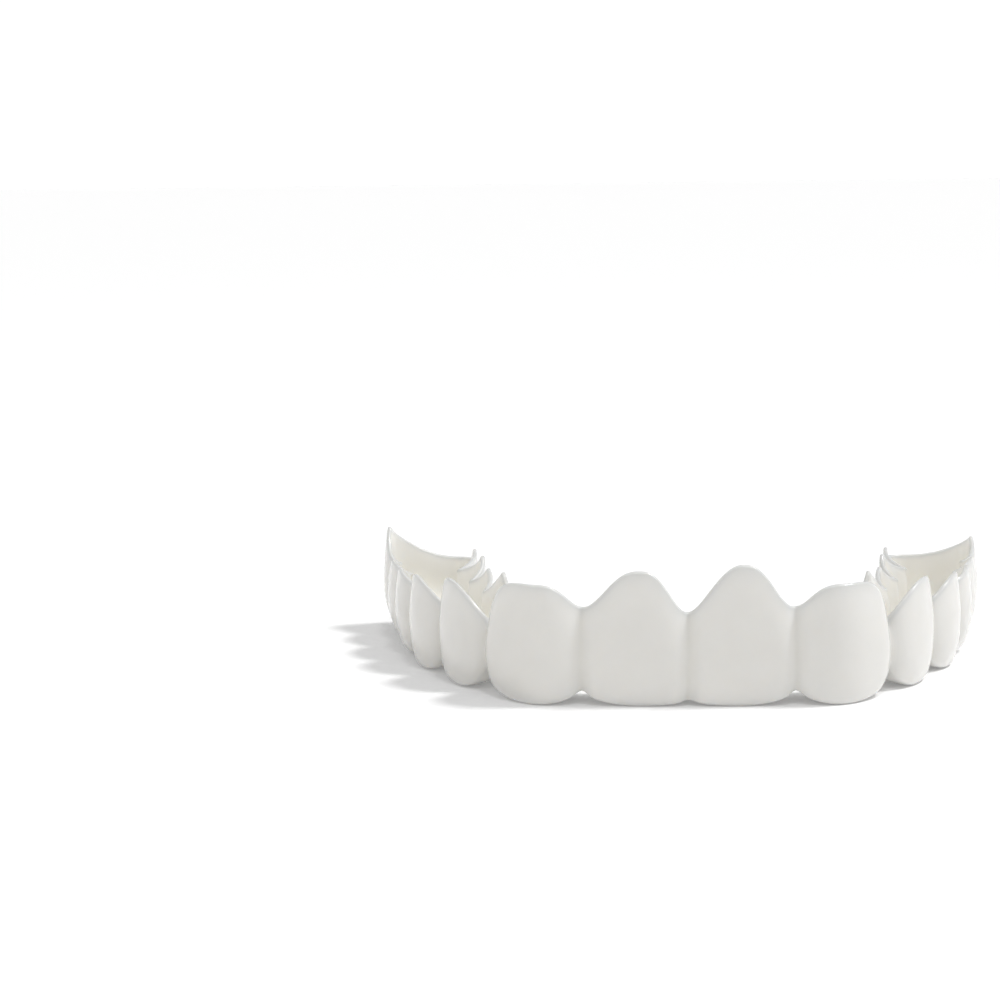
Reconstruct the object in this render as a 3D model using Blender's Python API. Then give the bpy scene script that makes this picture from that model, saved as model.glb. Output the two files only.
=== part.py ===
# Clip-on cover for an upper row of teeth: one thin moulded shell, open at the top.
# X runs across the row, Y from the front teeth to the back ends, Z up from the biting edges.

import math

import bmesh
import bpy
import numpy as np

# Driving sizes in millimetres
ARCH_HALF_WIDTH = 28.2
ARCH_DEPTH = 36.6
CROWN_HEIGHT = 11.9
TROUGH_WIDTH = 8.0
BACK_END_LENGTH = 3.4
BITE_FLAT_WIDTH = 0.9
WALL = 0.85
FLOOR_WALL = 1.05
RIM_WALL = 0.45

MM = 0.001

# Sizes worked out from the driving sizes
GROOVE_REACH = 0.12 * TROUGH_WIDTH
RIM_ROUND = 0.55 * RIM_WALL
FOSSA_HEIGHT = 0.14 * CROWN_HEIGHT
STATION_STEP = 0.028 * ARCH_HALF_WIDTH
DIRECTION_REACH = 0.16 * ARCH_HALF_WIDTH
EASE_SHARE = 0.3

# Shape of the sections: shares of the wall's distance from the spine, and of half a tooth
LEAST_FLOOR = 0.35
INNER_INSET = 0.8
BITE_FLAT_SHARE = 0.22
SPIKE_POWER = 1.3
FOSSA_FROM = 0.55
FOSSA_FULL = 0.85
CAP_SQUARENESS = 3.6

# Rows and steps of the mesh: floor, turn and wall rows of a section, steps round a back end
CAP_STEPS = 15
OUTER_ROWS = (2, 4, 4)
INNER_ROWS = (2, 3, 3)
DENSE_STEPS = 24

# Contact points from the midline to one back end: shares of ARCH_HALF_WIDTH and ARCH_DEPTH
ARCH = (
    ("midline", 0.000, 0.016),
    ("central", 0.318, 0.026),
    ("lateral_turn", 0.475, 0.042),
    ("lateral", 0.618, 0.159),
    ("canine", 0.768, 0.345),
    ("first_premolar", 0.875, 0.520),
    ("second_premolar", 0.929, 0.693),
    ("molar_front", 0.980, 0.849),
    ("molar_back", 1.000, 1.000),
)

# Front wall of each tooth. Heights are shares of CROWN_HEIGHT, the rest shares of TROUGH_WIDTH.
# gap columns hold at the contact point with the next tooth; MIDLINE holds them for the first one.
MIDLINE = {"gap_rim": 0.654, "gap_edge": 0.040, "groove": 0.085}
FACE_COLUMNS = (
    "rim", "peak", "near_shape", "near_power", "far_shape", "far_power", "gap_rim", "edge", "cusp",
    "gap_edge", "edge_power", "convex", "convex_power", "groove", "edge_inset", "contour", "lean",
)
FACE = {
    "central": (
        0.955, 0.455, 1.3, 1.00, 1.2, 1.0, 0.690, 0.000, 0.50,
        0.105, 3.2, 0.056, 3.6, 0.080, 0.060, 0.38, 0.060,
    ),
    "lateral": (
        0.857, 0.36, 1.4, 0.80, 2.4, 0.7, 0.455, 0.000, 0.43,
        0.170, 3.2, 0.072, 3.4, 0.080, 0.070, 0.40, 0.050,
    ),
    "canine": (
        0.776, 0.66, 1.0, 0.28, 1.0, 0.5, 0.500, 0.000, 0.42,
        0.155, 2.4, 0.118, 2.2, 0.060, 0.080, 0.42, 0.050,
    ),
    "first_premolar": (
        0.703, 0.66, 1.0, 0.35, 1.0, 0.5, 0.580, 0.000, 0.45,
        0.145, 2.0, 0.115, 2.0, 0.060, 0.120, 0.46, 0.050,
    ),
    "second_premolar": (
        0.664, 0.60, 1.0, 0.50, 1.0, 0.5, 0.579, 0.000, 0.50,
        0.136, 2.0, 0.110, 2.0, 0.060, 0.200, 0.50, 0.045,
    ),
    "molar_front": (
        0.638, 0.55, 1.0, 0.50, 1.0, 0.5, 0.579, 0.000, 0.50,
        0.100, 2.0, 0.085, 2.0, 0.050, 0.240, 0.48, 0.045,
    ),
    "molar_back": (
        0.600, 0.50, 1.0, 0.50, 1.0, 0.5, 0.579, 0.000, 0.50,
        0.100, 2.0, 0.085, 2.0, 0.030, 0.260, 0.46, 0.045,
    ),
}

# What differs on the right side
RIGHT_SIDE = {
    "central": {
        "rim": 0.998, "peak": 0.50, "near_shape": 1.0, "near_power": 0.70, "far_shape": 1.3,
        "far_power": 1.15,
    },
}

# Inner wall of each tooth, with the same shares. reach is the distance from the contact line.
BACK_COLUMNS = (
    "reach", "spine", "rim", "gap_rim", "pinch", "edge", "gap_edge", "edge_inset", "contour", "lean",
)
BACK = {
    "central": (0.500, 0.320, 0.215, 0.215, 0.00, 0.010, 0.060, 0.060, 0.60, -0.090),
    "lateral": (0.510, 0.320, 0.240, 0.460, 0.06, 0.010, 0.110, 0.060, 0.60, -0.070),
    "canine": (0.560, 0.340, 0.795, 0.610, 0.12, 0.020, 0.120, 0.090, 0.55, -0.020),
    "first_premolar": (0.830, 0.430, 0.720, 0.590, 0.16, 0.020, 0.130, 0.150, 0.50, 0.020),
    "second_premolar": (0.960, 0.480, 0.735, 0.590, 0.24, 0.015, 0.130, 0.160, 0.50, 0.020),
    "molar": (1.045, 0.510, 0.670, 0.570, 0.00, 0.000, 0.110, 0.170, 0.50, 0.020),
}

# Rim of the back end: steps of the turn where it peaks and dips, and heights as shares of CROWN_HEIGHT
END_TIP_STEP = 2
END_LOW_STEP = 10
END_TIP_LEFT = 0.822
END_TIP_RIGHT = 0.722
END_FALL_LEFT = 1.9
END_FALL_RIGHT = 2.4
END_LOW = 0.545
END_TIP_POWER = 1.5
END_PEAK_POWER = 2.5
END_EDGE = 0.100


def arch_line():
    """Dense points of the contact line on one side, their running length, and the length at each row."""
    rows = np.array([row[1:] for row in ARCH]) * (ARCH_HALF_WIDTH, ARCH_DEPTH)
    ahead = np.vstack([rows[1] * (-1, 1), rows, 2 * rows[-1] - rows[-2]])
    share = np.arange(DENSE_STEPS)[:, None] / DENSE_STEPS
    points = []
    for p0, p1, p2, p3 in zip(ahead[:-3], ahead[1:-2], ahead[2:-1], ahead[3:]):
        points.append(
            0.5 * (
                2 * p1
                + (p2 - p0) * share
                + (2 * p0 - 5 * p1 + 4 * p2 - p3) * share**2
                + (3 * p1 - p0 - 3 * p2 + p3) * share**3
            )
        )
    points = np.vstack([*points, rows[-1:]])
    length = np.concatenate([[0.0], np.cumsum(np.hypot(*np.diff(points, axis=0).T))])
    marks = {row[0]: length[index * DENSE_STEPS] for index, row in enumerate(ARCH)}
    return points, length, marks


LINE, LENGTH, MARKS = arch_line()
POLE = MARKS["molar_back"] - BACK_END_LENGTH


def line_point(distance):
    """Point of the contact line at a signed distance from the midline."""
    run = abs(distance)
    across = np.interp(run, LENGTH, LINE[:, 0])
    return np.array([math.copysign(across, distance), np.interp(run, LENGTH, LINE[:, 1])])


def frame_at(distance, depth):
    """Spine point at a depth inside the contact line, and the outward direction there.

    Both are read over a stretch of the line, so the spine and the inner wall turn in an easy curve."""
    ahead = line_point(distance + DIRECTION_REACH)
    behind = line_point(distance - DIRECTION_REACH)
    along = ahead - behind
    outward = np.array([along[1], -along[0]]) / np.linalg.norm(along)
    eased = EASE_SHARE * (ahead + behind) / 2 + (1 - EASE_SHARE) * line_point(distance)
    return eased - outward * depth, outward


def lobe_at(run, names):
    """Name of the tooth at a distance from the midline, the tooth before it, and its two ends."""
    start = 0.0
    before = None
    for name in names[:-1]:
        if run <= MARKS[name]:
            return name, before, start, MARKS[name]
        start = MARKS[name]
        before = name
    return names[-1], before, start, MARKS["molar_back"]


def smooth_between(run, places, values):
    """Values joined by level-ended steps."""
    index = int(np.clip(np.searchsorted(places, run) - 1, 0, len(places) - 2))
    share = np.clip((run - places[index]) / (places[index + 1] - places[index]), 0, 1)
    share = share * share * (3 - 2 * share)
    return values[index] + (values[index + 1] - values[index]) * share


def arc(share, shape, power):
    """One at the middle, falling to nothing at either side."""
    return (0.5 + 0.5 * math.cos(math.pi * min(1.0, abs(share)) ** shape)) ** power


FACE_NAMES = tuple(FACE)
BACK_NAMES = tuple(BACK)


def face_row(name):
    return dict(zip(FACE_COLUMNS, FACE[name]))


def back_row(name):
    return dict(zip(BACK_COLUMNS, BACK[name]))


def middles(names):
    """Distance of the middle of each tooth from the midline."""
    places = []
    start = 0.0
    for name in names:
        end = MARKS["molar_back"] if name == names[-1] else MARKS[name]
        places.append((start + end) / 2)
        start = end
    return places


def table_value(run, names, row_of, column):
    """A column of a table, eased from the middle of one tooth to the middle of the next."""
    return smooth_between(run, middles(names), [row_of(name)[column] for name in names])


def front_section(distance):
    """Section sizes of the front wall at a signed distance along the arch."""
    run = abs(distance)
    name, before, start, end = lobe_at(run, FACE_NAMES)
    row = face_row(name)
    if distance > 0:
        row.update(RIGHT_SIDE.get(name, {}))
    prior = face_row(before) if before else MIDLINE
    middle = start + (end - start) * row["peak"]
    near = run < middle
    share = (middle - run) / (middle - start) if near else (run - middle) / (end - middle)
    gap = prior if near else row
    side = "near" if near else "far"
    crown = arc(share, row[side + "_shape"], row[side + "_power"])
    height = gap["gap_rim"] + (row["rim"] - gap["gap_rim"]) * crown
    cusp = start + (end - start) * row["cusp"]
    gap_edge = prior["gap_edge"] if run < cusp else row["gap_edge"]
    share = (cusp - run) / (cusp - start) if run < cusp else (run - cusp) / (end - cusp)
    rise = max(0.0, min(1.0, share) - BITE_FLAT_SHARE) / (1 - BITE_FLAT_SHARE)
    edge = row["edge"] + (gap_edge - row["edge"]) * rise ** row["edge_power"]
    off_middle = min(1.0, abs(2 * (run - start) / (end - start) - 1))
    from_gap = min(run - start, end - run)
    gap = prior if run - start < end - run else row
    groove = gap["groove"] * math.exp(-((from_gap / GROOVE_REACH) ** 2))
    return {
        "bulge": (row["convex"] * (1 - off_middle ** row["convex_power"]) - groove) * TROUGH_WIDTH,
        "rim": height * CROWN_HEIGHT,
        "edge": edge * CROWN_HEIGHT,
        "edge_inset": table_value(run, FACE_NAMES, face_row, "edge_inset") * TROUGH_WIDTH,
        "contour": table_value(run, FACE_NAMES, face_row, "contour"),
        "lean": table_value(run, FACE_NAMES, face_row, "lean") * TROUGH_WIDTH,
    }


def back_section(distance):
    """Section sizes of the inner wall at a signed distance along the arch."""
    run = abs(distance)
    name, before, start, end = lobe_at(run, BACK_NAMES)
    row = back_row(name)
    prior = back_row(before) if before else row
    middle = (start + end) / 2
    near = run < middle
    gap = prior if near else row
    share = min(1.0, abs(run - middle) / (middle - start))
    reach = table_value(run, BACK_NAMES, back_row, "reach") - gap["pinch"] * share**2
    spine = table_value(run, BACK_NAMES, back_row, "spine")
    height = gap["gap_rim"] + (row["rim"] - gap["gap_rim"]) * (1 - share) ** SPIKE_POWER
    edge = row["edge"] + (gap["gap_edge"] - row["edge"]) * share**2
    return {
        "depth": spine * TROUGH_WIDTH,
        "reach": (reach - spine) * TROUGH_WIDTH,
        "rim": height * CROWN_HEIGHT,
        "edge": edge * CROWN_HEIGHT,
        "edge_inset": table_value(run, BACK_NAMES, back_row, "edge_inset") * TROUGH_WIDTH,
        "contour": table_value(run, BACK_NAMES, back_row, "contour"),
        "lean": table_value(run, BACK_NAMES, back_row, "lean") * TROUGH_WIDTH,
    }


def arch_stations():
    """Signed distances of the sections, with one on every contact point and every peak."""
    fixed = {0.0, POLE}
    fixed.update(MARKS[name] for name in FACE_NAMES if MARKS[name] < POLE)
    fixed.update(middle for middle in middles(BACK_NAMES) if middle < POLE)
    fixed = sorted(fixed)
    half = [0.0]
    for first, last in zip(fixed[:-1], fixed[1:]):
        steps = max(1, round((last - first) / STATION_STEP))
        half.extend(first + (last - first) * (step + 1) / steps for step in range(steps))
    return [-distance for distance in half[:0:-1]] + half


def blend(first, last, share):
    return {key: first[key] + (last[key] - first[key]) * share for key in first if key in last}


def cap_sections(side):
    """Sections round one back end, from the front wall to the inner wall, without its two ends."""
    front = front_section(side * POLE)
    back = back_section(side * POLE)
    spine, outward = frame_at(side * POLE, back["depth"])
    front["reach"] = float(np.linalg.norm(line_point(side * POLE) - spine)) + front["bulge"]
    along = np.array([-outward[1] * side, outward[0] * side])
    sections = []
    for step in range(1, CAP_STEPS):
        angle = math.pi * step / CAP_STEPS
        across = abs(math.cos(angle)) ** (2 / CAP_SQUARENESS)
        length = math.sin(angle) ** (2 / CAP_SQUARENESS) * BACK_END_LENGTH
        reach = front["reach"] * across if angle < math.pi / 2 else -back["reach"] * across
        offset = outward * reach + along * length
        section = blend(front, back, step / CAP_STEPS)
        section["edge"] += (END_EDGE * CROWN_HEIGHT - section["edge"]) * math.sin(angle)
        section["reach"] = float(np.linalg.norm(offset))
        section["direction"] = offset / np.linalg.norm(offset)
        section["step"] = step
        sections.append(section)
    return sections


def end_rim(loop, side):
    """Sets the rim heights from the molar groove round the back end to the inner peak of the molar."""
    count = len(loop)
    start = MARKS["molar_front"]
    stop = middles(BACK_NAMES)[-1]
    picked = [
        index for index in range(count)
        if loop[index]["side"] == side and (
            loop[index]["part"] == "cap"
            or (loop[index]["part"] == "front" and abs(loop[index]["distance"]) >= start - 1e-6)
            or (loop[index]["part"] == "back" and abs(loop[index]["distance"]) >= stop - 1e-6)
        )
    ]
    if side < 0:
        split = next(place for place in range(1, len(picked)) if picked[place] - picked[place - 1] > 1)
        picked = (picked[split:] + picked[:split])[::-1]
    crest = np.array([loop[index]["crest"] for index in picked])
    length = np.concatenate([[0.0], np.cumsum(np.hypot(*np.diff(crest, axis=0).T))])
    steps = [loop[index].get("step") for index in picked]
    at_tip = length[steps.index(END_TIP_STEP)]
    at_low = length[steps.index(END_LOW_STEP)]
    tip = END_TIP_LEFT if side < 0 else END_TIP_RIGHT
    fall = END_FALL_LEFT if side < 0 else END_FALL_RIGHT
    first = loop[picked[0]]["rim"] / CROWN_HEIGHT
    last = loop[picked[-1]]["rim"] / CROWN_HEIGHT
    for index, place in zip(picked, length):
        if place < at_tip:
            height = first + (tip - first) * (place / at_tip) ** END_TIP_POWER
        elif place < at_low:
            height = END_LOW + (tip - END_LOW) * ((at_low - place) / (at_low - at_tip)) ** fall
        else:
            share = (place - at_low) / (length[-1] - at_low)
            height = END_LOW + (last - END_LOW) * share**END_PEAK_POWER
        loop[index]["rim"] = height * CROWN_HEIGHT


def shell_loop():
    """Spine points of the arch and the closed loop of wall sections standing round them."""
    distances = arch_stations()
    spine = []
    fronts = []
    backs = []
    for index, distance in enumerate(distances):
        front = front_section(distance)
        back = back_section(distance)
        point, outward = frame_at(distance, back["depth"])
        spine.append(point)
        to_line = line_point(distance) - point
        front["reach"] = float(np.linalg.norm(to_line)) + front["bulge"]
        facing = to_line / np.linalg.norm(to_line)
        common = {"spine_index": index, "distance": distance, "side": 1 if distance > 0 else -1}
        fronts.append({**front, **common, "direction": facing, "part": "front"})
        backs.append({**back, **common, "direction": -outward, "part": "back"})
    caps = {}
    for side in (-1, 1):
        last = len(distances) - 1 if side > 0 else 0
        common = {"spine_index": last, "distance": side * POLE, "side": side, "part": "cap"}
        caps[side] = [{**section, **common} for section in cap_sections(side)]
    loop = fronts + caps[1] + backs[::-1] + caps[-1][::-1]
    for section in loop:
        section["crest"] = spine[section["spine_index"]] + section["direction"] * section["reach"]
    for side in (-1, 1):
        end_rim(loop, side)
    heights = []
    for front, back in zip(fronts, backs):
        lowest = max(front["edge"], back["edge"])
        inner = table_value(abs(front["distance"]), BACK_NAMES, back_row, "reach")
        share = np.clip((inner - FOSSA_FROM) / (FOSSA_FULL - FOSSA_FROM), 0, 1)
        heights.append(lowest + max(0.0, FOSSA_HEIGHT - lowest) * share)
    return np.array(spine), np.array(heights), loop


def floor_points(end, edge, spine_height, rows):
    """Floor of a section, easing from the spine to the biting edge."""
    points = []
    for row in range(1, rows + 1):
        share = row / rows
        height = edge + (spine_height - edge) * (0.5 + 0.5 * math.cos(math.pi * share))
        points.append((end * share, height))
    return points


def turn_points(start, end, low, high, rows):
    """Quarter ellipse from the floor up into the wall."""
    points = []
    for row in range(1, rows + 1):
        angle = math.pi / 2 * row / rows
        height = low + (high - low) * (1 - math.cos(angle))
        points.append((start + (end - start) * math.sin(angle), height))
    return points


def wall_points(start, end, low, high, rows):
    """Wall that leans more and more towards its rim."""
    points = []
    for row in range(1, rows + 1):
        share = row / rows
        points.append((start + (end - start) * share**2, low + (high - low) * share))
    return points


def outer_profile(section, spine_height):
    """Distances from the spine and heights of the outer face, from the spine to the rim."""
    floor_rows, turn_rows, wall_rows = OUTER_ROWS
    reach = section["reach"]
    edge = section["edge"]
    turn = max(LEAST_FLOOR * reach, reach - section["edge_inset"])
    slope_end = max(LEAST_FLOOR * turn, turn - BITE_FLAT_WIDTH)
    contour = edge + (section["rim"] - edge) * section["contour"]
    points = floor_points(slope_end, edge, spine_height, floor_rows)
    points.append((turn, edge))
    points += turn_points(turn, reach, edge, contour, turn_rows)
    points += wall_points(reach, reach - section["lean"], contour, section["rim"] - RIM_ROUND, wall_rows)
    return points


def inner_profile(section, spine_height):
    """The same line inside the shell, from the floor of the trough to the rim."""
    floor_rows, turn_rows, wall_rows = INNER_ROWS
    reach = section["reach"] - WALL
    edge = section["edge"] + FLOOR_WALL
    turn = max(LEAST_FLOOR * reach, reach - INNER_INSET * section["edge_inset"])
    contour = edge + (section["rim"] - edge) * section["contour"]
    rim_reach = section["reach"] - section["lean"] - RIM_WALL
    points = floor_points(turn, edge, spine_height + FLOOR_WALL, floor_rows)
    points += turn_points(turn, reach, edge, contour, turn_rows)
    points += wall_points(reach, rim_reach, contour, section["rim"] - RIM_ROUND, wall_rows)
    return points


def shell_mesh():
    """Vertices in millimetres and faces of the whole shell."""
    spine, spine_heights, loop = shell_loop()
    vertices = [(x, y, z) for (x, y), z in zip(spine, spine_heights)]
    inner_spine = len(vertices)
    vertices += [(x, y, z + FLOOR_WALL) for (x, y), z in zip(spine, spine_heights)]
    columns = []
    for section in loop:
        index = section["spine_index"]
        start = spine[index]
        line = outer_profile(section, spine_heights[index])
        line.append((section["reach"] - section["lean"] - RIM_WALL / 2, section["rim"]))
        line += inner_profile(section, spine_heights[index])[::-1]
        column = [index]
        for distance, height in line:
            column.append(len(vertices))
            vertices.append((*(start + section["direction"] * distance), height))
        column.append(inner_spine + index)
        columns.append(column)
    faces = []
    for first, last in zip(columns, columns[1:] + columns[:1]):
        for a, b, c, d in zip(first[:-1], first[1:], last[1:], last[:-1]):
            faces.append([a, b, c] if a == d else [a, b, c] + ([] if c == d else [d]))
    faces = [list(dict.fromkeys(face)) for face in faces]
    return np.array(vertices), faces


def shell_material():
    """Cream-white moulded dental resin."""
    material = bpy.data.materials.new("dental_resin")
    material.use_nodes = True
    shader = material.node_tree.nodes["Principled BSDF"]
    shader.inputs["Base Color"].default_value = (0.80, 0.78, 0.72, 1.0)
    shader.inputs["Roughness"].default_value = 0.25
    return material


def build():
    for thing in list(bpy.data.objects):
        bpy.data.objects.remove(thing)
    vertices, faces = shell_mesh()
    low = vertices.min(axis=0)
    high = vertices.max(axis=0)
    origin = np.array([(low[0] + high[0]) / 2, (low[1] + high[1]) / 2, low[2]])
    mesh = bpy.data.meshes.new("veneer_shell")
    mesh.from_pydata([tuple(point) for point in (vertices - origin) * MM], [], faces)
    shape = bmesh.new()
    shape.from_mesh(mesh)
    bmesh.ops.recalc_face_normals(shape, faces=shape.faces)
    shape.to_mesh(mesh)
    shape.free()
    mesh.polygons.foreach_set("use_smooth", [True] * len(mesh.polygons))
    mesh.materials.append(shell_material())
    shell = bpy.data.objects.new("veneer_shell", mesh)
    bpy.context.scene.collection.objects.link(shell)


build()
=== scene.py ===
import math

import bmesh
import bpy
import numpy as np
from mathutils import Matrix, Vector


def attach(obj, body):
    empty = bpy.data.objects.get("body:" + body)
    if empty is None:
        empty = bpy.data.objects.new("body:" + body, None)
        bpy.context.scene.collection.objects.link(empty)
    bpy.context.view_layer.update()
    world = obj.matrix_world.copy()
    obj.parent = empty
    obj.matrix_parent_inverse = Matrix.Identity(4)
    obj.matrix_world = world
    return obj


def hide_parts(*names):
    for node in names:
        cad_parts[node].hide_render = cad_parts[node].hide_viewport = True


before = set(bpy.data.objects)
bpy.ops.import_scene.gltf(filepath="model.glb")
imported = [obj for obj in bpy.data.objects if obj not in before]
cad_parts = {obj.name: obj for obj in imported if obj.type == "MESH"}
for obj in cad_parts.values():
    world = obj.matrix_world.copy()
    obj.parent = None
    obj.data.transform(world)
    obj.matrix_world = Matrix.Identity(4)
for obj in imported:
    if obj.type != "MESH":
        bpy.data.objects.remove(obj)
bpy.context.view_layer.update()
mm = 0.001

# The mould: sizes of the shell in millimetres, then the shares and powers that shape it
shellSizes = {
    "archHalfWidth": 28.2,
    "archDepth": 36.6,
    "crownHeight": 11.9,
    "troughWidth": 8.0,
    "backEndLength": 3.4,
    "biteFlatWidth": 0.9,
    "wall": 0.85,
    "floorWall": 1.05,
    "rimWall": 0.42,
    "easeReach": 4.5,  # stretch of the arch over which the spine and the inner wall turn
    "easeShare": 0.3,  # how far the spine is drawn to the middle of that stretch
    "grooveReach": 0.46,  # half width of the groove between two teeth, in millimetres
    "grooveTail": 0.9,  # how far its shallow sides run out over the face, in millimetres
    "grooveCore": 0.8,  # share of its depth that is the groove itself
    "edgeBow": 0.55,  # share of a biting edge's rise that is one low bow, the rest is its corners
    "cornerPower": 7,  # how tightly a biting edge turns up at its corners
    "scallopPower": 1.3,  # 1 would give straight-sided scallops, more gives hollow sides
    "scallopFold": 8,  # how tightly the fold between two scallops is shaded
    "innerInset": 0.8,  # inset of the trough floor, as a share of the biting edge's
    "leastFloor": 0.35,  # least width of the floor, as a share of the reach
    "wallBend": 2,  # how the wall leans in over its height
    "rimBand": 3,  # how tightly nearRim gathers at the top of the wall
    "fossaHeight": 0.14,  # how tightly the painted shade in the fold between two scallops is gathered
    "fossaFrom": 0.55,  # reach of the inner wall at which that rise begins
    "fossaStretch": 0.3,  # further reach by which it is complete
    "lobeDepth": 0.035,  # faint upright lobes on the front teeth, in millimetres
    "lobeCount": 3,
    "lobeEnd": 4,  # how far out the lobes keep their depth before the grooves
    "lobeTop": 1.15,  # the lobes die out below the rim, at 1 / 1.15 of the wall's height
}

# How finely the shell is drawn
shellSteps = {
    "stationStep": 0.26,  # millimetres of the arch from one wall section to the next
    "capSteps": 45,
    "outerRows": (5, 9, 13),  # floor, turn and wall
    "rimRows": 5,
    "innerRows": (5, 8, 11),
    "lineSteps": 40,
    "slack": 1e-6,  # lengths closer than this count as the same place
}

# Contact points from the midline to a back end: shares of archHalfWidth and archDepth
archPoints = (
    ("midline", 0.000, 0.016),
    ("central", 0.318, 0.026),
    ("lateralTurn", 0.475, 0.042),
    ("lateral", 0.618, 0.159),
    ("canine", 0.768, 0.345),
    ("firstPremolar", 0.875, 0.520),
    ("secondPremolar", 0.929, 0.693),
    ("molarFront", 0.980, 0.849),
    ("molarBack", 1.000, 1.000),
)

# Front of each tooth. rim, gapRim, edge and gapEdge are heights, as shares of crownHeight. convex,
# groove, edgeInset and lean are shares of troughWidth, peak and cusp are places as shares of the
# tooth's width, and contour is a share of the wall's height. The others are powers.
midline = {"gapRim": 0.654, "gapEdge": 0.042, "groove": 0.045}
faceColumns = (
    "rim", "peak", "nearShape", "nearPower", "farShape", "farPower", "gapRim", "edge", "cusp",
    "gapEdge", "edgePower", "convex", "convexPower", "groove", "edgeInset", "contour", "lean",
)
faceTable = {
    "central": (
        0.955, 0.455, 1.3, 1.00, 1.2, 1.0, 0.690, 0.000, 0.50,
        0.115, 1.8, 0.046, 7.0, 0.042, 0.025, 0.36, 0.060,
    ),
    "lateral": (
        0.857, 0.36, 1.4, 0.80, 2.4, 0.7, 0.455, 0.000, 0.43,
        0.220, 2.2, 0.066, 4.8, 0.050, 0.050, 0.40, 0.050,
    ),
    "canine": (
        0.776, 0.66, 1.0, 0.28, 1.0, 0.5, 0.500, 0.000, 0.42,
        0.175, 1.8, 0.115, 2.8, 0.045, 0.070, 0.42, 0.050,
    ),
    "firstPremolar": (
        0.703, 0.66, 1.0, 0.35, 1.0, 0.5, 0.580, 0.000, 0.45,
        0.155, 2.0, 0.112, 2.4, 0.045, 0.100, 0.46, 0.050,
    ),
    "secondPremolar": (
        0.664, 0.60, 1.0, 0.50, 1.0, 0.5, 0.579, 0.000, 0.50,
        0.136, 2.0, 0.110, 2.2, 0.050, 0.200, 0.50, 0.045,
    ),
    "molarFront": (
        0.638, 0.55, 1.0, 0.50, 1.0, 0.5, 0.579, 0.000, 0.50,
        0.100, 2.0, 0.085, 2.0, 0.045, 0.240, 0.48, 0.045,
    ),
    "molarBack": (
        0.600, 0.50, 1.0, 0.50, 1.0, 0.5, 0.579, 0.000, 0.50,
        0.100, 2.0, 0.085, 2.0, 0.030, 0.260, 0.46, 0.045,
    ),
}
# Where the right half differs: its central incisor rises higher, with a rounder top
rightSide = {
    "central": {
        "rim": 0.998, "peak": 0.50, "nearShape": 1.0, "nearPower": 0.70, "farShape": 1.3,
        "farPower": 1.15,
    },
}

# Inner wall of each tooth, in the same shares. reach, spine and pinch are shares of troughWidth.
backColumns = (
    "reach", "spine", "rim", "gapRim", "pinch", "edge", "gapEdge", "edgeInset", "contour", "lean",
)
backTable = {
    "central": (0.500, 0.320, 0.215, 0.215, 0.00, 0.010, 0.060, 0.060, 0.60, -0.090),
    "lateral": (0.510, 0.320, 0.240, 0.460, 0.06, 0.010, 0.110, 0.060, 0.60, -0.070),
    "canine": (0.560, 0.340, 0.795, 0.610, 0.12, 0.020, 0.120, 0.090, 0.55, -0.020),
    "firstPremolar": (0.830, 0.430, 0.720, 0.590, 0.16, 0.020, 0.130, 0.150, 0.50, 0.020),
    "secondPremolar": (0.960, 0.480, 0.735, 0.590, 0.24, 0.015, 0.130, 0.160, 0.50, 0.020),
    "molar": (1.045, 0.510, 0.670, 0.570, 0.00, 0.000, 0.110, 0.170, 0.50, 0.020),
}

# Rim of a back end: places as shares of the turn, heights as shares of crownHeight
endRim = {
    "tipPlace": 2 / 15,
    "lowPlace": 10 / 15,
    "tip": {-1: 0.822, 1: 0.722},
    "fall": {-1: 1.9, 1: 2.4},  # how hollow it is behind the tip
    "low": 0.545,
    "tipPower": 1.5,  # how hollow the rim is as it climbs to the tip, 1 is straight
    "peakPower": 2.5,  # the same, as it climbs to the inner peak
    "edge": 0.100,
    "squareness": 3.6,  # of the turn seen from above, where 2 would be round
}

# Finishing of the moulded skin, the named inputs of its node tree
skinSettings = {
    "Blur Steps": 3,
    "Relief": 0.018 * mm,  # hand-finished surface, a few hundredths of a millimetre
    "Relief Size": 3.2 * mm,
    "Seed": 7.0,
}

width = shellSizes["troughWidth"]
crown = shellSizes["crownHeight"]
faceNames = tuple(faceTable)
backNames = tuple(backTable)
faceRows = {name: dict(zip(faceColumns, faceTable[name])) for name in faceNames}
backRows = {name: dict(zip(backColumns, backTable[name])) for name in backNames}


def makeArch():
    # smooth line through the contact points, its running length and the length at each point
    rows = np.array([row[1:] for row in archPoints])
    rows = rows * (shellSizes["archHalfWidth"], shellSizes["archDepth"])
    ahead = np.vstack([rows[1] * (-1, 1), rows, 2 * rows[-1] - rows[-2]])
    steps = shellSteps["lineSteps"]
    share = np.arange(steps)[:, None] / steps
    points = []
    for p0, p1, p2, p3 in zip(ahead[:-3], ahead[1:-2], ahead[2:-1], ahead[3:]):
        slope = (p2 - p0) * share
        bend = (2 * p0 - 5 * p1 + 4 * p2 - p3) * share**2
        twist = (3 * p1 - p0 - 3 * p2 + p3) * share**3
        points.append(0.5 * (2 * p1 + slope + bend + twist))
    points = np.vstack([*points, rows[-1:]])
    length = np.concatenate([[0.0], np.cumsum(np.hypot(*np.diff(points, axis=0).T))])
    marks = {row[0]: length[index * steps] for index, row in enumerate(archPoints)}
    return points, length, marks


archLine, archLength, marks = makeArch()
pole = marks["molarBack"] - shellSizes["backEndLength"]


def linePoint(distance):
    # a point of the arch, with distances below zero on the left side
    run = abs(distance)
    across = np.interp(run, archLength, archLine[:, 0])
    return np.array([math.copysign(across, distance), np.interp(run, archLength, archLine[:, 1])])


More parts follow.
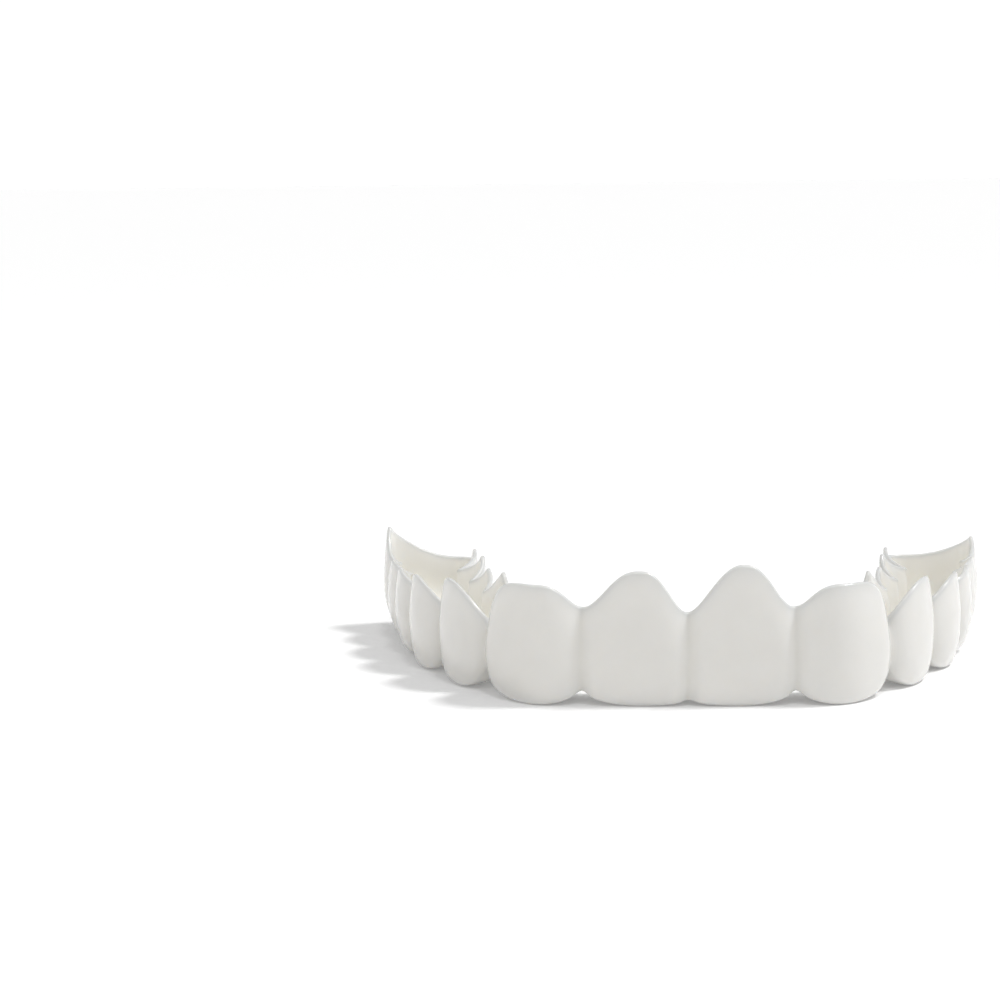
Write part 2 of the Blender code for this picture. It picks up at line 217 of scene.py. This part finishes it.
def spineAt(distance, depth):
    # a point of the spine under the trough and the way out from it, turning softer than the arch
    ahead = linePoint(distance + shellSizes["easeReach"])
    behind = linePoint(distance - shellSizes["easeReach"])
    along = ahead - behind
    outward = np.array([along[1], -along[0]]) / np.linalg.norm(along)
    ease = shellSizes["easeShare"]
    return ease * (ahead + behind) / 2 + (1 - ease) * linePoint(distance) - outward * depth, outward


def toothAt(run, names):
    # the tooth at a distance from the midline, the one before it, and its two ends
    start = 0.0
    before = None
    for name in names[:-1]:
        if run <= marks[name]:
            return name, before, start, marks[name]
        start = marks[name]
        before = name
    return names[-1], before, start, marks["molarBack"]


def toothMiddles(names):
    ends = [marks[name] for name in names[:-1]] + [marks["molarBack"]]
    starts = [0.0] + ends[:-1]
    return [(start + end) / 2 for start, end in zip(starts, ends)]


faceMiddles = toothMiddles(faceNames)
backMiddles = toothMiddles(backNames)


def eased(run, places, values):
    # the value at a distance, changing smoothly from place to place
    index = int(np.clip(np.searchsorted(places, run) - 1, 0, len(places) - 2))
    share = float(np.clip((run - places[index]) / (places[index + 1] - places[index]), 0, 1))
    share = share * share * (3 - 2 * share)
    return values[index] + (values[index + 1] - values[index]) * share


def faceValue(run, column):
    return eased(run, faceMiddles, [faceRows[name][column] for name in faceNames])


def backValue(run, column):
    return eased(run, backMiddles, [backRows[name][column] for name in backNames])


def frontSection(distance):
    # what the front wall measures at one place along the arch
    run = abs(distance)
    name, before, start, end = toothAt(run, faceNames)
    row = dict(faceRows[name])
    if distance > 0:
        row.update(rightSide.get(name, {}))
    prior = faceRows[before] if before else midline
    middle = start + (end - start) * row["peak"]
    side = "near" if run < middle else "far"
    share = (middle - run) / (middle - start) if run < middle else (run - middle) / (end - middle)
    gap = prior if run < middle else row
    arch = 0.5 + 0.5 * math.cos(math.pi * min(1.0, abs(share)) ** row[side + "Shape"])
    rim = gap["gapRim"] + (row["rim"] - gap["gapRim"]) * arch ** row[side + "Power"]
    cusp = start + (end - start) * row["cusp"]
    gapEdge = prior["gapEdge"] if run < cusp else row["gapEdge"]
    share = (cusp - run) / (cusp - start) if run < cusp else (run - cusp) / (end - cusp)
    rise = min(1.0, share)
    bow = shellSizes["edgeBow"]
    rise = bow * rise ** row["edgePower"] + (1 - bow) * rise ** shellSizes["cornerPower"]
    offMiddle = min(1.0, abs(2 * (run - start) / (end - start) - 1))
    fromGap = min(run - start, end - run)
    gap = prior if run - start < end - run else row
    # fold both shapes the groove and marks where shade is painted into it
    fold = math.exp(-((fromGap / shellSizes["grooveReach"]) ** 2))
    core = shellSizes["grooveCore"]
    tail = math.exp(-fromGap / shellSizes["grooveTail"])
    crease = gap["groove"] * (core * fold + (1 - core) * tail)
    lobes = 0.0
    if name in ("central", "lateral", "canine"):
        lobes = shellSizes["lobeDepth"] * math.cos(shellSizes["lobeCount"] * math.pi * offMiddle)
        lobes *= 1 - offMiddle ** shellSizes["lobeEnd"]
    return {
        "bulge": (row["convex"] * (1 - offMiddle ** row["convexPower"]) - crease) * width,
        "lobes": lobes,
        "fold": fold,
        "rim": rim * crown,
        "edge": (row["edge"] + (gapEdge - row["edge"]) * rise) * crown,
        "edgeInset": faceValue(run, "edgeInset") * width,
        "contour": faceValue(run, "contour"),
        "lean": faceValue(run, "lean") * width,
    }


def backSection(distance):
    # what the inner wall measures there, rising to one pointed scallop in each tooth
    run = abs(distance)
    name, before, start, end = toothAt(run, backNames)
    row = backRows[name]
    prior = backRows[before] if before else row
    middle = (start + end) / 2
    gap = prior if run < middle else row
    share = min(1.0, abs(run - middle) / (middle - start))
    spine = backValue(run, "spine")
    rim = gap["gapRim"] + (row["rim"] - gap["gapRim"]) * (1 - share) ** shellSizes["scallopPower"]
    return {
        "depth": spine * width,
        "reach": (backValue(run, "reach") - gap["pinch"] * share**2 - spine) * width,
        "lobes": 0.0,
        # where shade is painted into the folds between scallops
        "fold": share ** shellSizes["scallopFold"] if gap["pinch"] else 0.0,
        "rim": rim * crown,
        "edge": (row["edge"] + (gap["gapEdge"] - row["edge"]) * share**2) * crown,
        "edgeInset": backValue(run, "edgeInset") * width,
        "contour": backValue(run, "contour"),
        "lean": backValue(run, "lean") * width,
    }


def archStations():
    # where the walls are drawn, with a section in each groove and at each scallop tip
    fixed = {0.0, pole}
    fixed.update(marks[name] for name in faceNames if marks[name] < pole)
    fixed.update(middle for middle in backMiddles if middle < pole)
    fixed = sorted(fixed)
    half = [0.0]
    for first, last in zip(fixed[:-1], fixed[1:]):
        steps = max(1, round((last - first) / shellSteps["stationStep"]))
        half.extend(first + (last - first) * (step + 1) / steps for step in range(steps))
    return [-distance for distance in half[:0:-1]] + half


def capSections(side):
    # the turn round a back end, a rounded square seen from above
    front = frontSection(side * pole)
    back = backSection(side * pole)
    spine, outward = spineAt(side * pole, back["depth"])
    front["reach"] = float(np.linalg.norm(linePoint(side * pole) - spine)) + front["bulge"]
    along = np.array([-outward[1] * side, outward[0] * side])
    power = 2 / endRim["squareness"]
    sections = []
    for step in range(1, shellSteps["capSteps"]):
        turn = step / shellSteps["capSteps"]
        angle = math.pi * turn
        across = abs(math.cos(angle)) ** power
        length = math.sin(angle) ** power * shellSizes["backEndLength"]
        reach = front["reach"] * across if turn < 0.5 else -back["reach"] * across
        offset = outward * reach + along * length
        section = {key: front[key] + (back[key] - front[key]) * turn for key in front if key in back}
        section["edge"] += (endRim["edge"] * crown - section["edge"]) * math.sin(angle)
        section["reach"] = float(np.linalg.norm(offset))
        section["direction"] = offset / np.linalg.norm(offset)
        section["turn"] = turn
        sections.append(section)
    return sections


def shapeEndRim(loop, side):
    # from the molar groove the rim rises to a thin wing, dips behind it and rises to the inner peak
    slack = shellSteps["slack"]
    picked = []
    for index, section in enumerate(loop):
        run = abs(section["distance"])
        onEnd = section["part"] == "cap"
        onEnd = onEnd or (section["part"] == "front" and run >= marks["molarFront"] - slack)
        onEnd = onEnd or (section["part"] == "back" and run >= backMiddles[-1] - slack)
        if section["side"] == side and onEnd:
            picked.append(index)
    if side < 0:
        split = next(at for at in range(1, len(picked)) if picked[at] - picked[at - 1] > 1)
        picked = (picked[split:] + picked[:split])[::-1]
    crest = np.array([loop[index]["crest"] for index in picked])
    length = np.concatenate([[0.0], np.cumsum(np.hypot(*np.diff(crest, axis=0).T))])
    turns = np.array([loop[index].get("turn", -1.0) for index in picked])
    atTip = length[int(np.argmin(np.abs(turns - endRim["tipPlace"])))]
    atLow = length[int(np.argmin(np.abs(turns - endRim["lowPlace"])))]
    tip = endRim["tip"][side]
    low = endRim["low"]
    first = loop[picked[0]]["rim"] / crown
    last = loop[picked[-1]]["rim"] / crown
    for index, place in zip(picked, length):
        if place < atTip:
            height = first + (tip - first) * (place / atTip) ** endRim["tipPower"]
        elif place < atLow:
            share = (atLow - place) / (atLow - atTip)
            height = low + (tip - low) * share ** endRim["fall"][side]
        else:
            share = (place - atLow) / (length[-1] - atLow)
            height = low + (last - low) * share ** endRim["peakPower"]
        loop[index]["rim"] = height * crown


def shellSections():
    # the loop of wall sections: front wall, right end, inner wall and left end
    distances = archStations()
    spine = []
    heights = []
    fronts = []
    backs = []
    for index, distance in enumerate(distances):
        front = frontSection(distance)
        back = backSection(distance)
        point, outward = spineAt(distance, back["depth"])
        toLine = linePoint(distance) - point
        front["reach"] = float(np.linalg.norm(toLine)) + front["bulge"]
        common = {"spineIndex": index, "distance": distance, "side": 1 if distance > 0 else -1}
        facing = toLine / np.linalg.norm(toLine)
        spine.append(point)
        fronts.append({**front, **common, "direction": facing, "part": "front"})
        backs.append({**back, **common, "direction": -outward, "part": "back"})
        lowest = max(front["edge"], back["edge"])
        pastStart = backValue(abs(distance), "reach") - shellSizes["fossaFrom"]
        share = float(np.clip(pastStart / shellSizes["fossaStretch"], 0, 1))
        heights.append(lowest + max(0.0, shellSizes["fossaHeight"] * crown - lowest) * share)
    caps = {}
    for side in (-1, 1):
        last = len(distances) - 1 if side > 0 else 0
        common = {"spineIndex": last, "distance": side * pole, "side": side, "part": "cap"}
        caps[side] = [{**section, **common} for section in capSections(side)]
    loop = fronts + caps[1] + backs[::-1] + caps[-1][::-1]
    for section in loop:
        reach = section["direction"] * section["reach"]
        section["crest"] = spine[section["spineIndex"]] + reach
    for side in (-1, 1):
        shapeEndRim(loop, side)
    return spine, heights, loop


def wallProfile(section, spineHeight, inner):
    # distance from the spine, height, and how near the rim it is
    floorRows, turnRows, wallRows = shellSteps["innerRows"] if inner else shellSteps["outerRows"]
    reach = section["reach"] - (shellSizes["wall"] if inner else 0)
    lift = shellSizes["floorWall"] if inner else 0
    edge = section["edge"] + lift
    least = shellSizes["leastFloor"]
    inset = section["edgeInset"] * (shellSizes["innerInset"] if inner else 1)
    turn = max(least * reach, reach - inset)
    slopeEnd = turn if inner else max(least * turn, turn - shellSizes["biteFlatWidth"])
    contour = edge + (section["rim"] - edge) * section["contour"]
    top = section["rim"] - shellSizes["rimWall"] / 2
    rimReach = section["reach"] - section["lean"] - (shellSizes["rimWall"] if inner else 0)
    points = []
    for row in range(1, floorRows + 1):
        share = row / floorRows
        height = edge + (spineHeight + lift - edge) * (0.5 + 0.5 * math.cos(math.pi * share))
        points.append((slopeEnd * share, height, 0.0))
    if not inner:
        points.append(((slopeEnd + turn) / 2, edge, 0.0))
        points.append((turn, edge, 0.0))
    for row in range(1, turnRows + 1):
        angle = math.pi / 2 * row / turnRows
        height = edge + (contour - edge) * (1 - math.cos(angle))
        points.append((turn + (reach - turn) * math.sin(angle), height, 0.0))
    for row in range(1, wallRows + 1):
        share = row / wallRows
        swell = 0
        if not inner:
            swell = section["lobes"] * math.sin(math.pi * min(1.0, share * shellSizes["lobeTop"]))
        points.append((
            reach + (rimReach - reach) * share ** shellSizes["wallBend"] + swell,
            contour + (top - contour) * share,
            share ** shellSizes["rimBand"],
        ))
    return points


def rimProfile(section):
    # half round over the top of the thin wall
    radius = shellSizes["rimWall"] / 2
    middle = section["reach"] - section["lean"] - radius
    points = []
    for row in range(1, shellSteps["rimRows"] + 1):
        angle = math.pi * row / (shellSteps["rimRows"] + 1)
        height = section["rim"] - radius * (1 - math.sin(angle))
        points.append((middle + radius * math.cos(angle), height, 1.0))
    return points


def shellNet():
    # the whole skin as one closed net: a column of points for each section
    spine, heights, loop = shellSections()
    lift = shellSizes["floorWall"]
    points = [(*point, height) for point, height in zip(spine, heights)]
    points += [(*point, height + lift) for point, height in zip(spine, heights)]
    inside = [0.0] * len(spine) + [1.0] * len(spine)
    nearRim = [0.0] * len(points)
    fold = [0.0] * len(points)
    columns = []
    onWall = shellSteps["outerRows"][0] + 2
    for section in loop:
        index = section["spineIndex"]
        outer = wallProfile(section, heights[index], False)
        rim = rimProfile(section)
        inner = wallProfile(section, heights[index], True)[::-1]
        column = [index]
        for place, (distance, height, rimShare) in enumerate(outer + rim + inner):
            column.append(len(points))
            points.append((*(spine[index] + section["direction"] * distance), height))
            overRim = (place - len(outer) + 1) / (len(rim) + 1)
            inside.append(min(1.0, max(0.0, overRim)))
            nearRim.append(rimShare)
            # fold carries the painted shade mask onto the walls
            fold.append(section["fold"] if place >= onWall and overRim < 0.5 else 0.0)
        column.append(len(spine) + index)
        columns.append(column)
    faces = []
    for first, last in zip(columns, columns[1:] + columns[:1]):
        for a, b, c, d in zip(first[:-1], first[1:], last[1:], last[:-1]):
            face = [a, b] + ([c] if c != b else []) + ([d] if d != a else [])
            if len(face) > 2:
                faces.append(face)
    return np.array(points), faces, {"inside": inside, "nearRim": nearRim, "fold": fold}


def addNode(tree, kind, settings=None, inputs=None):
    # settings are the node's own fields, inputs are values or sockets to link
    node = tree.nodes.new(kind)
    for name, value in (settings or {}).items():
        setattr(node, name, value)
    for name, value in (inputs or {}).items():
        socket = node.inputs[name]
        if isinstance(value, bpy.types.NodeSocket):
            tree.links.new(value, socket)
        else:
            socket.default_value = value
    return node


def hexColour(code):
    channels = [int(code[at:at + 2], 16) / 255 for at in (1, 3, 5)]
    linear = [c / 12.92 if c <= 0.04045 else ((c + 0.055) / 1.055) ** 2.4 for c in channels]
    return (*linear, 1.0)


def skinTree():
    # softens the net as a moulded skin is soft, adds the low relief of hand finishing
    tree = bpy.data.node_groups.new("mouldedSkin", "GeometryNodeTree")
    face = tree.interface
    face.new_socket("Geometry", in_out="INPUT", socket_type="NodeSocketGeometry")
    face.new_socket("Blur Steps", in_out="INPUT", socket_type="NodeSocketInt")
    for name in ("Relief", "Relief Size", "Seed"):
        face.new_socket(name, in_out="INPUT", socket_type="NodeSocketFloat")
    face.new_socket("Material", in_out="INPUT", socket_type="NodeSocketMaterial")
    face.new_socket("Geometry", in_out="OUTPUT", socket_type="NodeSocketGeometry")
    given = addNode(tree, "NodeGroupInput").outputs
    place = addNode(tree, "GeometryNodeInputPosition").outputs["Position"]
    nearRim = addNode(
        tree, "GeometryNodeInputNamedAttribute", {"data_type": "FLOAT"}, {"Name": "nearRim"}
    ).outputs["Attribute"]
    firm = addNode(tree, "ShaderNodeMath", {"operation": "SUBTRACT"}, {0: 1.0, 1: nearRim})
    soft = addNode(
        tree, "GeometryNodeBlurAttribute", {"data_type": "FLOAT_VECTOR"},
        {"Iterations": given["Blur Steps"], "Weight": firm.outputs[0]},
    )
    tree.links.new(place, next(s for s in soft.inputs if s.name == "Value" and s.type == "VECTOR"))
    blurred = next(s for s in soft.outputs if s.name == "Value" and s.type == "VECTOR")
    softened = addNode(
        tree, "GeometryNodeSetPosition", None, {"Geometry": given["Geometry"], "Position": blurred}
    )
    scale = addNode(tree, "ShaderNodeMath", {"operation": "DIVIDE"}, {0: 1.0, 1: given["Relief Size"]})
    noise = addNode(
        tree, "ShaderNodeTexNoise", {"noise_dimensions": "4D"},
        {"Vector": place, "W": given["Seed"], "Scale": scale.outputs[0], "Detail": 1.5},
    )
    centred = addNode(tree, "ShaderNodeMath", {"operation": "SUBTRACT"}, {0: noise.outputs[0], 1: 0.5})
    amount = addNode(
        tree, "ShaderNodeMath", {"operation": "MULTIPLY"}, {0: centred.outputs[0], 1: given["Relief"]}
    )
    normal = addNode(tree, "GeometryNodeInputNormal").outputs["Normal"]
    offset = addNode(
        tree, "ShaderNodeVectorMath", {"operation": "SCALE"}, {0: normal, "Scale": amount.outputs[0]}
    )
    relief = addNode(
        tree, "GeometryNodeSetPosition", None,
        {"Geometry": softened.outputs[0], "Offset": offset.outputs[0]},
    )
    smooth = addNode(tree, "GeometryNodeSetShadeSmooth", None, {"Geometry": relief.outputs[0]})
    real = addNode(tree, "GeometryNodeRealizeInstances", None, {"Geometry": smooth.outputs[0]})
    coated = addNode(
        tree, "GeometryNodeSetMaterial", None,
        {"Geometry": real.outputs[0], "Material": given["Material"]},
    )
    addNode(tree, "NodeGroupOutput", None, {"Geometry": coated.outputs[0]})
    return tree


# Dental resin, a tooth-coloured acrylic: pressed over a mould and polished outside, so it is glossy
# and lets a little light in; the fitting side keeps the mould's softer sheen. Its inside colour is
# painted light: lighter and creamier, for the warm light that bounces round the trough.
resin = {
    "outside": "#DCDBD8",
    # painted light: lighter and creamier than the outside, for the warm light bouncing in the trough
    "inside": "#F3F1EB",
    "paintedFoldShade": "#D7D6D2",  # painted shade in the grooves and folds, where less light gets in
    "paintedRimShade": "#C6C8C8",  # painted shade: a grey outline along the thin rims, where light passes through the thin resin
    "edgeBand": 4.0,  # how tightly the painted rim shade keeps to the rim
    "rimShadeShare": 0.7,
    "paintedShadeAmount": 0.55,
    "cloudSize": 2.6 * mm,
    "cloudShade": (0.985, 1.008),  # darkest and lightest of the faint clouding in the resin
    "peelSize": 0.45 * mm,  # waves that polishing leaves
    "scuffSize": 0.12 * mm,  # real scuffs are finer, this is the finest that shows
    "scuffShare": 0.25,
    "grainStrength": 0.12,
    "grainDepth": 0.02 * mm,
    "ior": 1.49,
    "roughOutside": 0.2,
    "roughInside": 0.34,
    "roughSpread": 0.16,  # how much handling has dulled or polished it from place to place
    "translucent": 0.6,
    "lightReach": 1.6 * mm,  # how far light spreads under the surface
    "reachByColour": (1.0, 0.94, 0.84),
    "coat": 0.5,
    "coatRoughness": 0.06,
}


def resinMaterial():
    material = bpy.data.materials.new("pressedDentalResin")
    material.use_nodes = True
    tree = material.node_tree
    shader = tree.nodes["Principled BSDF"]
    place = addNode(tree, "ShaderNodeTexCoord").outputs["Object"]
    inside = addNode(tree, "ShaderNodeAttribute", {"attribute_name": "inside"}).outputs["Fac"]
    fold = addNode(tree, "ShaderNodeAttribute", {"attribute_name": "fold"}).outputs["Fac"]
    nearRim = addNode(tree, "ShaderNodeAttribute", {"attribute_name": "nearRim"}).outputs["Fac"]
    cloud = addNode(
        tree, "ShaderNodeTexNoise", None,
        {"Vector": place, "Scale": 1 / resin["cloudSize"], "Detail": 3.0, "Roughness": 0.55},
    )
    # the inside is painted lighter and creamier, painted bounce light
    side = addNode(
        tree, "ShaderNodeMix", {"data_type": "RGBA"},
        {"Factor": inside, 6: hexColour(resin["outside"]), 7: hexColour(resin["inside"])},
    )
    # painted shade: darker in the grooves and folds, where less light gets in
    paintedShadeAmount = addNode(
        tree, "ShaderNodeMath", {"operation": "MULTIPLY"}, {0: fold, 1: resin["paintedShadeAmount"]}
    )
    withFoldShade = addNode(
        tree, "ShaderNodeMix", {"data_type": "RGBA"},
        {"Factor": paintedShadeAmount.outputs[0], 6: side.outputs[2], 7: hexColour(resin["paintedFoldShade"])},
    )
    # painted shade: a grey band along the thin rims, for the dark outline that light through thin resin
    # gives
    band = addNode(tree, "ShaderNodeMath", {"operation": "POWER"}, {0: nearRim, 1: resin["edgeBand"]})
    rimShadeFactor = addNode(
        tree, "ShaderNodeMath", {"operation": "MULTIPLY"}, {0: band.outputs[0], 1: resin["rimShadeShare"]}
    )
    withRimShade = addNode(
        tree, "ShaderNodeMix", {"data_type": "RGBA"},
        {"Factor": rimShadeFactor.outputs[0], 6: withFoldShade.outputs[2], 7: hexColour(resin["paintedRimShade"])},
    )
    darkest, lightest = resin["cloudShade"]
    shade = addNode(
        tree, "ShaderNodeMapRange", None,
        {
            "Value": cloud.outputs[0], "From Min": 0.3, "From Max": 0.7,
            "To Min": darkest, "To Max": lightest,
        },
    )
    clouded = addNode(
        tree, "ShaderNodeMix", {"data_type": "RGBA", "blend_type": "MULTIPLY"},
        {"Factor": 1.0, 6: withRimShade.outputs[2], 7: shade.outputs[0]},
    )
    peel = addNode(
        tree, "ShaderNodeTexNoise", None,
        {"Vector": place, "Scale": 1 / resin["peelSize"], "Detail": 2.0},
    )
    scuff = addNode(
        tree, "ShaderNodeTexNoise", None,
        {"Vector": place, "Scale": 1 / resin["scuffSize"], "Detail": 3.0},
    )
    polish = addNode(
        tree, "ShaderNodeMapRange", None,
        {"Value": inside, "To Min": resin["roughOutside"], "To Max": resin["roughInside"]},
    )
    wear = addNode(
        tree, "ShaderNodeMath", {"operation": "MULTIPLY_ADD"},
        {0: cloud.outputs[0], 1: resin["roughSpread"], 2: -resin["roughSpread"] / 2},
    )
    rough = addNode(
        tree, "ShaderNodeMath", {"operation": "ADD"}, {0: polish.outputs[0], 1: wear.outputs[0]}
    )
    grain = addNode(
        tree, "ShaderNodeMath", {"operation": "MULTIPLY_ADD"},
        {0: scuff.outputs[0], 1: resin["scuffShare"], 2: peel.outputs[0]},
    )
    bump = addNode(
        tree, "ShaderNodeBump", None,
        {
            "Strength": resin["grainStrength"], "Distance": resin["grainDepth"],
            "Height": grain.outputs[0],
        },
    )
    tree.links.new(clouded.outputs[2], shader.inputs["Base Color"])
    tree.links.new(rough.outputs[0], shader.inputs["Roughness"])
    tree.links.new(bump.outputs["Normal"], shader.inputs["Normal"])
    shader.inputs["IOR"].default_value = resin["ior"]
    shader.inputs["Subsurface Weight"].default_value = resin["translucent"]
    shader.inputs["Subsurface Radius"].default_value = resin["reachByColour"]
    shader.inputs["Subsurface Scale"].default_value = resin["lightReach"]
    shader.inputs["Coat Weight"].default_value = resin["coat"]
    shader.inputs["Coat Roughness"].default_value = resin["coatRoughness"]
    return material


def makeShell():
    points, faces, marksOnSkin = shellNet()
    low = points.min(axis=0)
    high = points.max(axis=0)
    origin = np.array([(low[0] + high[0]) / 2, (low[1] + high[1]) / 2, low[2]])
    mesh = bpy.data.meshes.new("veneerSkinNet")
    mesh.from_pydata([tuple(point) for point in (points - origin) * mm], [], faces)
    for name, values in marksOnSkin.items():
        mesh.attributes.new(name, "FLOAT", "POINT").data.foreach_set("value", values)
    shape = bmesh.new()
    shape.from_mesh(mesh)
    bmesh.ops.recalc_face_normals(shape, faces=shape.faces)
    shape.to_mesh(mesh)
    shape.free()
    net = bpy.data.objects.new("veneerSkinNet", mesh)
    bpy.context.scene.collection.objects.link(net)
    material = resinMaterial()
    modifier = net.modifiers.new("mouldedSkin", "NODES")
    modifier.node_group = skinTree()
    items = modifier.node_group.interface.items_tree
    sockets = {item.name: item.identifier for item in items if item.in_out == "INPUT"}
    for name, value in skinSettings.items():
        modifier[sockets[name]] = value
    modifier[sockets["Material"]] = material
    graph = bpy.context.evaluated_depsgraph_get()
    plain = bpy.data.meshes.new_from_object(net.evaluated_get(graph), depsgraph=graph)
    bpy.data.objects.remove(net)
    plain.name = "veneerSkin"
    plain.materials.clear()
    plain.materials.append(material)
    skin = bpy.data.objects.new("veneerSkin", plain)
    bpy.context.scene.collection.objects.link(skin)
    plain.calc_loop_triangles()
    print("shell:", len(plain.vertices), "points,", len(plain.loop_triangles), "triangles")
    return skin, origin


veneerSkin, partOrigin = makeShell()
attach(veneerSkin, "root")
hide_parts("veneer_shell")

# The sweep: matt white card over a light table, which shows through it faintly, and so wide that
# its edge is never in view
sweep = {
    "colour": "#F4F4F4",
    "tableGlow": 0.11,
    "halfSize": 3.0,
    "segments": 8,
    "grainSize": 0.6 * mm,
    "grainStrength": 0.05,
    "grainDepth": 0.02 * mm,
    "roughness": 0.9,
    "specular": 0.15,
}


def makeSweep():
    mesh = bpy.data.meshes.new("whiteCard")
    shape = bmesh.new()
    segments = sweep["segments"]
    bmesh.ops.create_grid(shape, x_segments=segments, y_segments=segments, size=sweep["halfSize"])
    shape.to_mesh(mesh)
    shape.free()
    card = bpy.data.objects.new("whiteCard", mesh)
    bpy.context.scene.collection.objects.link(card)
    material = bpy.data.materials.new("mattCard")
    material.use_nodes = True
    tree = material.node_tree
    shader = tree.nodes["Principled BSDF"]
    place = addNode(tree, "ShaderNodeTexCoord").outputs["Object"]
    grain = addNode(
        tree, "ShaderNodeTexNoise", None, {"Vector": place, "Scale": 1 / sweep["grainSize"]}
    )
    bump = addNode(
        tree, "ShaderNodeBump", None,
        {
            "Strength": sweep["grainStrength"], "Distance": sweep["grainDepth"],
            "Height": grain.outputs[0],
        },
    )
    tree.links.new(bump.outputs["Normal"], shader.inputs["Normal"])
    shader.inputs["Base Color"].default_value = hexColour(sweep["colour"])
    shader.inputs["Roughness"].default_value = sweep["roughness"]
    shader.inputs["Specular IOR Level"].default_value = sweep["specular"]
    shader.inputs["Emission Color"].default_value = (1, 1, 1, 1)
    shader.inputs["Emission Strength"].default_value = sweep["tableGlow"]
    mesh.materials.append(material)
    print("sweep: card", 2 * sweep["halfSize"], "m across")


makeSweep()

# Light: an even white tent, brighter low down, one large lamp from the right and above, and a
# small strip box overhead for the glints along the rims
light = {
    "tentHigh": 0.49,
    "tentLow": 1.05,
    "tentChange": (0.08, 0.16),  # it dims between these rises of a direction, where 1 is upright
    "sunPower": 1.80,
    "sunWidth": 12.0,  # degrees across, which softens the shadow's edge
    "sunWay": (-0.60, -0.10, -1.0),
    "glintPlace": (0.06, -0.20, 0.46),
    "glintSize": (0.08, 0.02),
    "glintPower": 0.30,
}


def lightScene():
    world = bpy.data.worlds.new("whiteTent")
    bpy.context.scene.world = world
    world.use_nodes = True
    tree = world.node_tree
    way = addNode(tree, "ShaderNodeTexCoord").outputs["Generated"]
    up = addNode(tree, "ShaderNodeSeparateXYZ", None, {"Vector": way}).outputs["Z"]
    start, end = light["tentChange"]
    low, high = light["tentLow"], light["tentHigh"]
    glow = addNode(
        tree, "ShaderNodeMapRange", {"interpolation_type": "SMOOTHSTEP"},
        {"Value": up, "From Min": start, "From Max": end, "To Min": low, "To Max": high},
    )
    tree.links.new(glow.outputs[0], tree.nodes["Background"].inputs["Strength"])
    tree.nodes["Background"].inputs["Color"].default_value = (1, 1, 1, 1)
    sun = bpy.data.objects.new("softLamp", bpy.data.lights.new("softLamp", "SUN"))
    sun.data.energy = light["sunPower"]
    sun.data.angle = math.radians(light["sunWidth"])
    sun.rotation_euler = Vector(light["sunWay"]).to_track_quat("-Z", "Y").to_euler()
    bpy.context.scene.collection.objects.link(sun)
    glint = bpy.data.objects.new("glintLamp", bpy.data.lights.new("glintLamp", "AREA"))
    glint.data.shape = "RECTANGLE"
    glint.data.size, glint.data.size_y = light["glintSize"]
    glint.data.energy = light["glintPower"]
    glint.location = light["glintPlace"]
    glint.rotation_euler = (-glint.location).to_track_quat("-Z", "Y").to_euler()
    bpy.context.scene.collection.objects.link(glint)
    print("light: tent, sun and glint lamp")


lightScene()

# Camera: a little above the table, looking past the left end so the cover stands low on the right
view = {
    "lens": 85.0,
    "sensor": 36.0,
    "clip": (0.005, 50.0),
    "place": (-5.55, -191.48, 45.99),  # from the midline of the front teeth, in millimetres
    "yaw": -2.964,  # degrees, like the two below
    "pitch": 8.442,
    "roll": 0.74,
}


def aimCamera():
    yaw, pitch, roll = (math.radians(view[key]) for key in ("yaw", "pitch", "roll"))
    ahead = Vector((math.sin(yaw) * math.cos(pitch), math.cos(yaw) * math.cos(pitch), -math.sin(pitch)))
    level = Vector((math.cos(yaw), -math.sin(yaw), 0))
    down = ahead.cross(level)
    right = math.cos(roll) * level + math.sin(roll) * down
    low = -math.sin(roll) * level + math.cos(roll) * down
    matrix = Matrix((right, -low, -ahead)).transposed().to_4x4()
    matrix.translation = (Vector(view["place"]) - Vector(partOrigin)) * mm
    camera = bpy.data.objects.new("viewCamera", bpy.data.cameras.new("viewCamera"))
    camera.data.lens = view["lens"]
    camera.data.sensor_width = view["sensor"]
    camera.data.clip_start, camera.data.clip_end = view["clip"]
    camera.matrix_world = matrix
    bpy.context.scene.collection.objects.link(camera)
    bpy.context.scene.camera = camera
    bpy.context.scene.view_settings.view_transform = "Standard"
    print("camera: at", [round(value, 4) for value in camera.location])


aimCamera()
